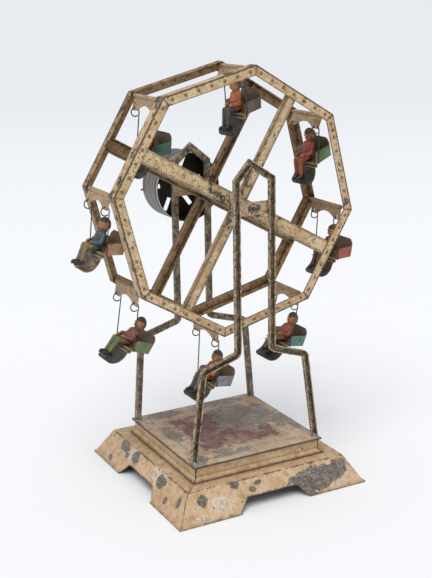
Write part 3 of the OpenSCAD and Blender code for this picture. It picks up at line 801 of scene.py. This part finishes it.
def trestle(name, side, leg_span, shift, materials):
    """A folded channel bent from foot to foot over the gable, open away from the wheel, with painted shade
    inside and a painted highlight on its cut edges
    """
    height = axle.z / MM
    bend = height - BEND_DROP
    half = [
        Vector((-FOOT_X, PLATE_Z)),
        Vector((-leg_span / 2, bend - CRANK_FALL)),
        Vector((-UPRIGHT_SPAN / 2, bend)),
        Vector((-UPRIGHT_SPAN / 2, height + GABLE_H)),
    ]
    half[0] = half[0] + (half[0] - half[1]).normalized() * CHANNEL_W
    other = [Vector((-p.x, p.y)) for p in reversed(half)]
    radii = [BEND_R, BEND_R, 0, 0, 0, BEND_R, BEND_R]
    path = rounded_path(half + [Vector((shift, height + GABLE_H + GABLE_RISE))] + other, radii)
    w, d, t, r = CHANNEL_W / 2, CHANNEL_D, CHANNEL_T, CHANNEL_R
    outside = [Vector((-w, 0))] + arc(Vector((-w + r, d - r)), r, 180, 90, 4)
    outside += arc(Vector((w - r, d - r)), r, 90, 0, 4) + [Vector((w, 0))]
    inside = [Vector((w - t, 0)), Vector((w - t, d - t)), Vector((t - w, d - t)), Vector((t - w, 0))]
    bm = bmesh.new()
    rings = []
    for i, point in enumerate(path):
        before = (point - path[i - 1]) if i else path[1] - path[0]
        after = (path[i + 1] - point) if i < len(path) - 1 else before
        along = (before.normalized() + after.normalized()).normalized()
        lateral = Vector((-along.y, along.x)) / max(0.5, along.dot(before.normalized()))
        ring = []
        for p in outside + inside:
            at = point + lateral * p.x
            ring.append(bm.verts.new((at.x, side * (TRESTLE_Y + CHANNEL_D / 2 - p.y), at.y)))
        rings.append(ring)
    skinned(bm, rings, [0] * (len(outside) - 1) + [2] + [1] * (len(inside) - 1) + [2])
    cut_flat(bm, PLATE_Z)
    transformed(bm, on_base)
    obj = mesh_object(name + "_channel", bm, materials, "stand")
    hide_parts(name)


def solder(material):
    """A lump of solder round each foot"""
    bm = bmesh.new()
    edge = PLATE_HALF - SOLDER_INSET
    for x in (-FOOT_X, FOOT_X):
        for y in (-TRESTLE_Y, TRESTLE_Y):
            for i in range(SOLDER_BLOBS):
                turn = 2 * math.pi * i / SOLDER_BLOBS
                size = 1.0 + 0.35 * noise.noise(Vector((x, y, i * 1.7)))
                at_x = max(-edge, min(edge, x + SOLDER_REACH[0] * math.cos(turn)))
                at_y = max(-edge, min(edge, y + SOLDER_REACH[1] * math.sin(turn)))
                ball(bm, (at_x, at_y, PLATE_Z + 0.2), size)
            ball(bm, (x * 0.99, y, PLATE_Z + 0.7), 1.7)
    mesh = moulded(bm, *SOLDER_GRAIN)
    bm = bmesh.new()
    bm.from_mesh(mesh)
    bpy.data.meshes.remove(mesh)
    cut_flat(bm, PLATE_Z)
    transformed(bm, on_base)
    obj = mesh_object("solder_lumps", bm, [material], "stand", 60)
    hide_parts("foot_solder")


def dress(node, material):
    """Give a CAD node a better material"""
    for place in frame["nodes"][node].material_slots:
        place.material = material


# Wear of the base, in millimetres from its middle: worn patches and scuffs as centre and half size
LEDGE_Z = 21
LEDGE_HALF = 67
BASE_HALF = 79.5
STEP_FOOT = 56.5
STEP_WORN_Z = 31.2
COVE_FOOT_Z = 22.3
COVE_Z = 25
ARCH_HALF = 30
ARCH_TOP_HALF = 21
ARCH_H = 9.5
PATCHES = [
    ((38, -74, 11), (24, 9, 10)),
    ((60, -71, 14), (9, 6, 7)),
    ((28, -79, 2), (9, 5, 5)),
    ((-57, -71, 14), (5, 4, 5)),
    ((-29, -68, 19), (4, 3, 3)),
    ((-16, -71, 13), (4, 2, 3)),
    ((-10, -69, 17), (3, 2, 2)),
    ((-70, -30, 15), (5, 7, 7)),
    ((-69, 38, 18), (5, 9, 5)),
    ((-70, 17, 16), (4, 6, 6)),
    ((-75, -45, 8), (3, 3, 4)),
    ((-72, -62, 13), (3, 3, 6)),
    ((-77, 53, 5), (2, 4, 3)),
    ((-71, 31, 13), (2, 3, 3)),
    ((70, 20, 14), (8, 18, 9)),
    ((73, -44, 9), (6, 10, 8)),
    ((8, 72, 13), (22, 8, 8)),
    ((-50, 75, 8), (10, 6, 7)),
]
SCUFFS = [
    ((-43, -73, 9), (11, 6, 8)),
    ((-69, -22, 17), (6, 12, 7)),
    ((-69, 30, 17), (6, 16, 7)),
    ((55, -75, 8), (14, 6, 7)),
    ((-60, -78, 3), (8, 5, 4)),
]
# Plate: half size of the panel, its frame lines as distance and width, and its worn spots as middle, half
# size and raggedness
PANEL_HALF = 33
FRAME_LINES = ((34.5, 0.6), (37, 0.5), (45, 0.5))
SPOT_DEPTH = 40
PLATE_SPOTS = [
    (22, 12, 27, 29, 3),
    (43, 6, 10, 26, 3),
    (-32, 48, 18, 8, 2.4),
    (22, 48, 26, 7, 2.6),
    (-5, -42, 8, 3.4, 0.9),
    (-22, -38, 9, 4.4, 0.9),
    (-42, 10, 7, 18, 2.6),
    (-20, -46, 20, 3, 2.4),
    (-46, -44, 8, 9, 2),
    (52, -16, 5, 16, 2.4),
]


def base_marks(finish, fine):
    """Bare tin along the folds, the hem and the arches of the base, and in its worn patches"""
    out = finish.square_reach()
    along = finish.math("MINIMUM", finish.size(finish.x), finish.size(finish.y))
    corner = finish.below(finish.torn(finish.minus(out, along), fine, 3), 0.5, 0.5)
    hem = finish.below(finish.torn(finish.z, fine, 3), 0.9, 0.6)
    ledge = finish.near(finish.torn(finish.z, fine, 2.5), LEDGE_Z, 0.8)
    fold = finish.times(ledge, finish.near(out, LEDGE_HALF, 1.6))
    slope = (ARCH_HALF - ARCH_TOP_HALF) / ARCH_H
    beside = finish.minus(finish.plus(along, finish.times(finish.z, slope)), ARCH_HALF)
    past_arch = finish.math("MAXIMUM", finish.times(beside, 0.73), finish.minus(finish.z, ARCH_H))
    arch = finish.near(finish.torn(past_arch, fine, 3), 0, 0.9)
    clouds = finish.noise(5, 7, 0.72, 17)
    patches = [finish.spot(where, size, clouds) for where, size in PATCHES]
    edges = finish.times(finish.most(corner, hem, finish.times(fold, 0.6), arch), 0.6)
    return finish.most(edges, *patches)


def base_dirt_and_shade(finish, fine):
    """Darker on the ledge along the upper box's foot, and painted shade all over the plinth's inside"""
    out = finish.square_reach()
    foot = finish.below(finish.torn(out, fine, 6), STEP_FOOT + 1.5, 2.5)
    on_ledge = finish.times(finish.times(foot, finish.above(finish.z, LEDGE_Z - 0.3, 0.1)), 0.5)
    # Painted shade: the plinth's inside, seen through the arches, is painted dark all over
    slant = finish.plus(out, finish.times(finish.z, (BASE_HALF - LEDGE_HALF) / LEDGE_Z))
    within = finish.below(slant, BASE_HALF - 0.5, 0.1)
    under = finish.times(within, finish.below(finish.z, LEDGE_Z - 0.4, 0.05))
    return finish.most(on_ledge, under)


def base_scuffs(finish, fine):
    """Pale scratched scuffs on the slopes of the base"""
    clouds = finish.noise(4, 7, 0.75, 21)
    scratches = finish.ramp(finish.noise(2, 5, 0.75, 22, (1, 1, 0.4)), 0.46, 0.6)
    blots = [finish.spot(where, size, clouds, 2.4) for where, size in SCUFFS]
    return finish.times(finish.times(finish.most(*blots), scratches), 0.95)


def step_marks(finish, fine):
    """Bare tin along the upper box's corners and top edge"""
    apart = finish.size(finish.minus(finish.size(finish.x), finish.size(finish.y)))
    corner = finish.below(finish.torn(apart, fine, 4), 0.9, 0.5)
    top = finish.above(finish.torn(finish.z, fine, 3), STEP_WORN_Z, 0.7)
    return finish.times(finish.most(corner, top), 0.6)


def step_cove_shade(finish, fine):
    """Painted shade in the concave hollow at the upper box's foot, strongest where the box meets the ledge
    """
    ragged = finish.torn(finish.z, fine, 2.5)
    # Painted shade: darkest at the foot, lighter up the hollow
    foot = finish.below(ragged, COVE_FOOT_Z, 0.7)
    hollow = finish.near(ragged, COVE_Z, 0.8)
    return finish.plus(finish.times(foot, 0.7), finish.times(hollow, 0.3))


def plate_finish():
    """The plate's stained border round a faded maroon panel, both worn to scratched tin, with dark edges"""
    finish = Finish("plate_paint", base_middle)
    middle = finish.noise(6, 6, 0.7, 31)
    fine = finish.noise(1.4, 5, 0.68, 32)
    grain = finish.noise(0.5, 2, 0.5, 33)
    large = finish.noise(20, 5, 0.65, 34)
    clouds = finish.noise(8, 7, 0.74, 35)
    scratches = finish.noise(2.2, 6, 0.74, 37, (0.35, 1.3, 1))
    reach = finish.square_reach()
    border = finish.mix(finish.ramp(large, 0.36, 0.62), *BORDER_TONES[:2])
    border = finish.mix(finish.ramp(middle, 0.48, 0.66, 0, 0.7), border, BORDER_TONES[2])
    border = finish.mix(finish.ramp(fine, 0.57, 0.66, 0, 0.7), border, BORDER_TONES[3])
    panel = finish.mix(finish.ramp(middle, 0.4, 0.58), *PANEL_TONES[:2])
    panel = finish.mix(finish.ramp(clouds, 0.52, 0.62, 0, 0.7), panel, PANEL_TONES[2])
    panel = finish.mix(finish.ramp(fine, 0.54, 0.64, 0, 0.6), panel, PANEL_TONES[3])
    inside = finish.below(finish.torn(reach, clouds, 26), PANEL_HALF, 1.2)
    tone = finish.mix(finish.times(inside, finish.ramp(large, 0.32, 0.5, 0.6, 1)), border, panel)
    for distance, width in FRAME_LINES:
        line = finish.near(finish.torn(reach, fine, 1.2), distance, width)
        tone = finish.mix(finish.times(line, finish.ramp(clouds, 0.42, 0.56, 0, 0.75)), tone, FRAME_LINE)
    spots = []
    for x, y, half_x, half_y, ragged in PLATE_SPOTS:
        spots.append(finish.spot((x, y, PLATE_Z), (half_x, half_y, SPOT_DEPTH), clouds, ragged))
    rim = finish.above(finish.torn(reach, clouds, 9), PLATE_HALF - 1, 0.5)
    specks = finish.ramp(finish.noise(3, 6, 0.74, 36), 0.61, 0.63)
    lost = finish.most(*spots, rim, specks)
    metal = finish.mix(finish.ramp(scratches, 0.4, 0.58), *PLATE_METAL[:2])
    metal = finish.mix(finish.ramp(fine, 0.54, 0.64, 0, 0.8), metal, PLATE_METAL[2])
    metal = finish.mix(finish.ramp(large, 0.46, 0.6, 0, 0.4), metal, PLATE_METAL[3])
    colour = finish.mix(lost, tone, metal)
    brink = finish.above(finish.torn(reach, fine, 1.6), PLATE_HALF - 0.4, 0.4)
    colour = finish.mix(finish.times(brink, 0.85), colour, BRINK)
    height = finish.minus(finish.times(grain, 0.3), lost)
    return finish.coat(colour, 0.56, finish.times(lost, 0.15), height, 0.16)


# Wear of the wheel, in millimetres and degrees
WHEEL_TURN = -8.4
HALF_SIDE = 22.5
WHEEL_R = 100
RIM_FACE = 7
RIM_Y = 29.2
PIP_PITCH = 10.6
PIP_R = 0.9
APOTHEM = WHEEL_R * math.cos(math.radians(HALF_SIDE))
LONG_SPOKE_W = 11
CROSS_SPOKE_W = 7.6
LONG_SPOKE_TURN = WHEEL_TURN - HALF_SIDE + 1.8
CROSS_SPOKE_TURN = WHEEL_TURN - HALF_SIDE + 90
RIM_END = 33
HUB_WORN = 10
HUB_CLEAN = 50
STRAP_WORN = (11, 60, 5)


def rim_places(finish):
    """How far out across a rim's side a place lies, and how far along it from the side's middle"""
    turn = finish.minus(finish.math("ARCTAN2", finish.z, finish.x), math.radians(WHEEL_TURN))
    step = math.radians(2 * HALF_SIDE)
    folded = finish.minus(finish.math("FLOORED_MODULO", turn, step), step / 2)
    away = finish.round_reach()
    out = finish.times(away, finish.math("COSINE", folded))
    along = finish.times(away, finish.math("SINE", folded))
    return out, along


def rim_depth(finish, side):
    """How far a place lies behind a rim's flat face"""
    return finish.minus(RIM_Y, finish.times(finish.y, side))


def rim_dirt_and_shade(side, finish, fine):
    """Grime with painted shade in a rim's outer groove, along its inner edge and in its corner seams"""
    out, along = rim_places(finish)
    ragged = finish.torn(out, fine, 2.4)
    # Grime and painted shade together in the groove, along the inner edge and in the seams
    shallow = finish.below(rim_depth(finish, side), 1.1, 0.3)
    groove = finish.times(finish.above(ragged, APOTHEM - 1.1, 0.4), shallow)
    inner = finish.below(ragged, APOTHEM - RIM_FACE + 0.5, 0.35)
    to_seam = finish.minus(finish.times(out, math.tan(math.radians(HALF_SIDE))), finish.size(along))
    seam = finish.below(finish.torn(to_seam, fine, 0.8), 0.45, 0.2)
    return finish.most(finish.times(groove, 0.85), finish.times(inner, 0.7), finish.times(seam, 0.9))


def rim_pips(side, finish, fine):
    """Brown rubbed pips along the middle of a rim's face"""
    out, along = rim_places(finish)
    shallow = finish.below(rim_depth(finish, side), 1.1, 0.3)
    step = finish.times(finish.math("ROUND", finish.times(along, 1 / PIP_PITCH)), PIP_PITCH)
    across = finish.minus(out, APOTHEM - RIM_FACE / 2)
    pair = finish.add("CombineXYZ", None, {0: finish.minus(along, step), 1: across}).outputs[0]
    away = finish.torn(finish.length(pair), fine, 2.2)
    return finish.times(finish.below(away, PIP_R * 1.35, 0.4), finish.times(shallow, 0.9))


def rim_marks(side, finish, fine):
    """Bare tin on a rim's flange and near its corners"""
    out, along = rim_places(finish)
    behind = finish.above(rim_depth(finish, side), 1, 0.3)
    flange = finish.times(finish.above(out, APOTHEM - 0.7, 0.1), behind)
    end = finish.above(finish.size(along), RIM_END, 3)
    return finish.plus(finish.times(flange, 0.22), finish.times(end, 0.15))


def spoke_dirt_and_shade(turn, width, face_y, finish, fine):
    """Grime with painted shade along a spoke's two folds, painted shade in a fine crease beside each at the
    channel's inner corner, and grime in streaks down its sides
    """
    angle = math.radians(turn)
    offset = finish.minus(finish.times(finish.z, math.cos(angle)), finish.times(finish.x, math.sin(angle)))
    across = finish.size(offset)
    depth = finish.size(finish.minus(finish.y, face_y))
    shallow = finish.below(depth, 0.9, 0.3)
    bend = finish.near(finish.torn(across, fine, 1.6), width / 2, 0.9)
    fold = finish.times(bend, shallow)
    # Painted shade: a dark line at the channel's inner corner
    crease = finish.near(finish.torn(across, fine, 0.6), width / 2 - 1.4, 0.5)
    side = finish.above(across, width / 2 - 0.3, 0.1)
    streak = finish.times(finish.near(finish.torn(depth, fine, 1.6), 2.4, 0.7), side)
    return finish.most(finish.times(fold, 0.8), finish.times(crease, 0.55), finish.times(streak, 0.6))


def hub_marks(finish, fine):
    """More bare tin towards the hub"""
    return finish.ramp(finish.round_reach(), HUB_WORN, HUB_CLEAN, 0.24, 0.05)


def strap_marks(finish, fine):
    """The worn middle of a bearing strap"""
    clouds = finish.noise(3, 6, 0.72, 57)
    return finish.spot((0, 0, 0), STRAP_WORN, clouds, 1.6)


def drum_inside(finish):
    """The dark inside of the drum"""
    return finish.below(finish.round_reach(), drum_r - 0.4, 0.15)


def drum_edge(finish, fine):
    """The drum's rubbed front edge"""
    ragged = finish.torn(finish.y, fine, 1.5)
    return finish.times(finish.below(ragged, drum_front + 1.2, 0.5), 0.8)


# Stand
base_masks = {"marks": base_marks, "dirt_and_shade": base_dirt_and_shade, "scuffs": base_scuffs}
step_masks = {"marks": step_marks, "dirt_and_shade": step_cove_shade}
base_paint = worn_paint("base_paint", CREAM_WARM, 0.64, 1, base_middle, 0.63, METAL_STAND, **base_masks)
step_paint = worn_paint("step_paint", CREAM_WARM, 0.66, 7, base_middle, 0.62, **step_masks)
dress("base_plinth", base_paint)
dress("base_step", step_paint)
dress("base_top_plate", plate_finish())
# Each trestle: paint outside, a darker copy inside the channel as painted shade, a paler copy on its cut
# edges as painted highlight
front_paints = [
    worn_paint("trestle_paint", TRESTLE_GREY, 0.535, 13, base_middle, 0.55, chip=2.8),
    worn_paint("trestle_inside_shaded", TRESTLE_SHADED, 0.535, 16, base_middle, 0.55, chip=2.8),
    worn_paint("trestle_lip_highlight", TRESTLE_LIP_LIT, 0.535, 18, base_middle, 0.56, chip=2.8),
]
rear_paints = [
    worn_paint("leg_paint", LEG_GREY, 0.5, 43, base_middle, 0.57, METAL_LEG, 3.2),
    worn_paint("leg_inside_shaded", TRESTLE_SHADED, 0.535, 46, base_middle, 0.56, METAL_LEG, 2.6),
    worn_paint("leg_lip_highlight", TRESTLE_LIP_LIT, 0.535, 48, base_middle, 0.57, METAL_LEG, 2.6),
]
trestle("front_trestle", -1, FRONT_LEG_SPAN, GABLE_SHIFT, front_paints)
trestle("rear_trestle", 1, REAR_LEG_SPAN, 0, rear_paints)
strap_paint = worn_paint("strap_paint", CREAM_GREY, 0.62, 23, axle, 0.58, marks=strap_marks)
for name in ("front_bearing_strap", "rear_bearing_strap", "axle_collars"):
    dress(name, strap_paint)
solder(bare_tin("solder_grey", SOLDER_TONES, 55))

# Wheel
rim_masks = {"marks": rim_marks, "dirt_and_shade": rim_dirt_and_shade, "pips": rim_pips}
front_masks = {kind: partial(mask, -1) for kind, mask in rim_masks.items()}
rear_masks = {kind: partial(mask, 1) for kind, mask in rim_masks.items()}
front_rim = worn_paint("rim_paint", CREAM, 0.635, 19, axle, 0.57, **front_masks)
# The rear rim in the darker copy of the cream: partly grime, partly painted shade
rear_rim = worn_paint("rear_rim_paint", CREAM_BROWN_SHADED, 0.63, 25, axle, 0.56, **rear_masks)
dress("front_rim", front_rim)
dress("rear_rim", rear_rim)
spoke_kinds = (("long", LONG_SPOKE_TURN, LONG_SPOKE_W), ("cross", CROSS_SPOKE_TURN, CROSS_SPOKE_W))
# The rear spokes in the darker copy of the cream: partly grime, partly painted shade
for end, tones, wear, seed in (("front", CREAM, 0.625, 61), ("rear", CREAM_BROWN_SHADED, 0.63, 59)):
    for i, (kind, turn, width) in enumerate(spoke_kinds):
        name = "%s_%s_spoke" % (end, kind)
        low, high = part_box(name)
        face_y = ((low.y if end == "front" else high.y) - axle.y) / MM
        masks = {"marks": hub_marks, "dirt_and_shade": partial(spoke_dirt_and_shade, turn, width, face_y)}
        dress(name, worn_paint(name + "_paint", tones, wear, seed + 2 * i, axle, 0.57, **masks))
drum_low, drum_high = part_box("drum_band")
drum_r = (drum_high.z - drum_low.z) / 2 / MM
drum_front = (drum_low.y - axle.y) / MM
dress("drum_band", bare_tin("drum_tin", DRUM_TONES, 61, (0.1, 1, 0.1), axle, drum_inside, drum_edge))
# Painted shade: the disc inside the drum in near-black tones
dress("drum_disc", bare_tin("disc_shade", DISC_SHADE_TONES, 63))
steel = bare_tin("wire_steel", STEEL_TONES, 65)
for name in ("axle", "hub_sleeve"):
    dress(name, steel)
dress("pivot_rods", worn_paint("rod_paint", CREAM_BROWN_SHADED, 0.6, 67))

# Gondolas
hanger_paint = worn_paint("hanger_paint", HANGER_TAN, 0.62, 37, (0, 0, 0), 0.57)
skin = figure_paint("skin_paint", SKIN, 71)
hair = figure_paint("hair_paint", HAIR, 73, 0.45)
shoe = figure_paint("shoe_paint", SHOE, 75, 0.32)
lips = figure_paint("lip_paint", LIPS, 77)
seat_brown = worn_paint("seat_brown", SEAT_BROWN, 0.64, 79)
nose_tan = worn_paint("nose_tan", NOSE_TAN, 0.63, 83)
for k in GONDOLAS:
    dress("hanger_%d" % k, hanger_paint)
    wires(k, steel)
    tones = (SEAT_PAINT[k - 1], SEAT_FADE[k - 1], SEAT_BROWN[1])
    seat(k, [worn_paint("panel_paint_%d" % k, tones, 0.63, 90 + 9 * k), seat_brown, nose_tan])
    footrest(k, bare_tin("foot_tin_%d" % k, (FOOT_DARK, FOOT_PAINT[k - 1]), 170 + 3 * k, (1, 0.4, 1)))
    coat = figure_paint("coat_paint_%d" % k, COAT_PAINT[k - 1], 200 + 3 * k)
    legs = figure_paint("leg_paint_%d" % k, LEG_PAINT[k - 1], 230 + 3 * k)
    rider(k, [coat, legs, shoe, skin, hair, lips])


# Studio, in metres and degrees
SKY = 0.6
SUN = 1.62
SUN_SPREAD = 42
SUN_FROM = (-0.5, -0.6, 1.3)
FLOOR_HALF = 60
FLOOR_NEAR = 0
FLOOR_FAR = 3.2
FLOOR_PALE = "#fbfcfd"
# The floor's far tone is painted shade, standing in for light falling off with distance
FLOOR_FAR_SHADE = "#eaecef"
SKY_TONE = "#f6f8fc"


def studio():
    """A pale floor with painted shade that greys it far away, under an even sky, with a broad soft light
    from the front left
    """
    world = bpy.data.worlds.new("studio")
    bpy.context.scene.world = world
    world.use_nodes = True
    background = world.node_tree.nodes["Background"]
    background.inputs["Color"].default_value = linear(SKY_TONE)
    background.inputs["Strength"].default_value = SKY
    floor_mesh = bpy.data.meshes.new("floor")
    corners = [(x * FLOOR_HALF, y * FLOOR_HALF, 0) for x, y in ((-1, -1), (1, -1), (1, 1), (-1, 1))]
    floor_mesh.from_pydata(corners, [], [(0, 1, 2, 3)])
    finish = Finish("floor")
    ahead = (-math.sin(CAMERA_AZIMUTH), math.cos(CAMERA_AZIMUTH), 0)
    away = finish.vector("DOT_PRODUCT", finish.place, ahead, "Value")
    # Painted shade: the floor greys with distance along the view
    tone = finish.mix(finish.ramp(away, FLOOR_NEAR / MM, FLOOR_FAR / MM), FLOOR_PALE, FLOOR_FAR_SHADE)
    finish.put(finish.shader.inputs["Base Color"], tone)
    finish.shader.inputs["Roughness"].default_value = 0.9
    finish.shader.inputs["Specular IOR Level"].default_value = 0.1
    floor_mesh.materials.append(finish.material)
    floor = bpy.data.objects.new("floor", floor_mesh)
    bpy.context.scene.collection.objects.link(floor)
    data = bpy.data.lights.new("sun", "SUN")
    data.energy = SUN
    data.angle = math.radians(SUN_SPREAD)
    sun = bpy.data.objects.new("sun", data)
    sun.matrix_world = (-Vector(SUN_FROM)).to_track_quat("-Z", "Y").to_matrix().to_4x4()
    bpy.context.scene.collection.objects.link(sun)


def camera():
    """The photograph's own viewpoint, lens and roll"""
    cos_a, sin_a = math.cos(CAMERA_AZIMUTH), math.sin(CAMERA_AZIMUTH)
    cos_e, sin_e = math.cos(CAMERA_ELEVATION), math.sin(CAMERA_ELEVATION)
    right = Vector((cos_a, sin_a, 0))
    back = Vector((sin_a * cos_e, -cos_a * cos_e, sin_e))
    up = back.cross(right)
    across = right * math.cos(CAMERA_ROLL) + up * math.sin(CAMERA_ROLL)
    above = up * math.cos(CAMERA_ROLL) - right * math.sin(CAMERA_ROLL)
    target = base_middle + right * TARGET_RIGHT + Vector((0, 0, TARGET_HEIGHT))
    place = target + back * CAMERA_DISTANCE
    data = bpy.data.cameras.new("camera")
    data.sensor_width = SENSOR
    data.lens = FOCAL_PX * SENSOR / PHOTO_HEIGHT_PX
    data.clip_end = CLIP_END
    obj = bpy.data.objects.new("camera", data)
    turn = Matrix((across, above, back)).transposed()
    obj.matrix_world = Matrix.Translation(place) @ turn.to_4x4()
    bpy.context.scene.collection.objects.link(obj)
    bpy.context.scene.camera = obj


studio()
camera()
bpy.context.scene.view_settings.view_transform = "Standard"
